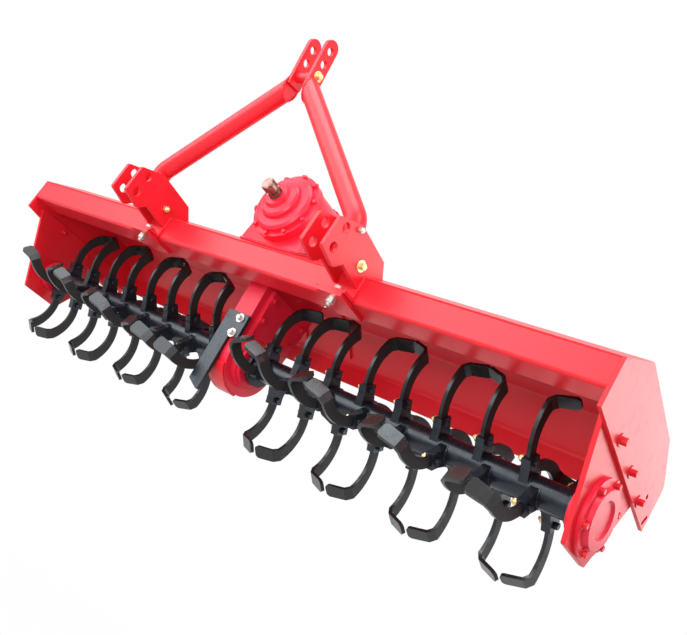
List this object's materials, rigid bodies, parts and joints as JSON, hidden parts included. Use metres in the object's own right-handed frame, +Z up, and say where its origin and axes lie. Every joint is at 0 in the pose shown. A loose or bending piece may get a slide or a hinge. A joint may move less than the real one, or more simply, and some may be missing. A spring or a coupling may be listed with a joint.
{
  "type": "rotary tiller",
  "caption": "Tractor-mounted rotary tiller: hooded rotor of bolted scoop blades, centre drive case, gearbox with splined input, and a three-point hitch mast.",
  "frame": {"origin": "midway between the lower hitch pins", "axes": "+X to the machine's left along the rotor, +Y to the rear, +Z up"},
  "size_m": [2.428, 0.8024, 1.1346],
  "materials": {
    "red_paint": "gloss red enamel",
    "black_paint": "satin black paint",
    "blade_steel": "black paint over forged steel",
    "bare_steel": "oiled bare steel"
  },
  "bodies": {
    "frame": {"beam_clamp_left": "red_paint", "beam_clamp_right": "red_paint", "bearing_housing_left": "red_paint", "bearing_housing_right": "red_paint", "bearing_plate_left": "red_paint", "bearing_plate_right": "red_paint", "centre_case": "red_paint", "centre_guard": "red_paint", "centre_knife": "black_paint", "end_plate_left": "red_paint", "end_plate_right": "red_paint", "gearbox_case": "red_paint", "gearbox_rail_left": "red_paint", "gearbox_rail_right": "red_paint", "hitch_plate_inner_left": "red_paint", "hitch_plate_inner_right": "red_paint", "hitch_plate_outer_left": "red_paint", "hitch_plate_outer_right": "red_paint", "hitch_saddle_left": "red_paint", "hitch_saddle_right": "red_paint", "hood_rib_left": "red_paint", "hood_rib_right": "red_paint", "hood_sheet": "red_paint", "input_cap": "red_paint", "main_beam": "red_paint", "mast_leg_left": "red_paint", "mast_leg_right": "red_paint", "mast_spacer": "red_paint", "mast_strap_left": "red_paint", "mast_strap_right": "red_paint"},
    "rotor": {"blades_left_left_hand": "blade_steel", "blades_left_right_hand": "blade_steel", "blades_right_left_hand": "blade_steel", "blades_right_right_hand": "blade_steel", "rotor_hub_left": "black_paint", "rotor_hub_right": "black_paint", "rotor_stub_left": "black_paint", "rotor_stub_right": "black_paint", "rotor_tube_left": "black_paint", "rotor_tube_right": "black_paint"},
    "input": {"input_shaft": "bare_steel"}
  },
  "joints": [
    {"name": "rotor_spin", "type": "hinge", "parent": "frame", "child": "rotor", "pos_m": [0, 0.428, -0.256], "axis": [1, 0, 0], "continuous": true},
    {"name": "input_spin", "type": "hinge", "parent": "frame", "child": "input", "pos_m": [0, 0.178, 0.19], "axis": [0, -1, 0], "continuous": true}
  ],
  "couplings": [
    {"joint": "input_spin", "follows": "rotor_spin", "ratio": 2.5}
  ]
}
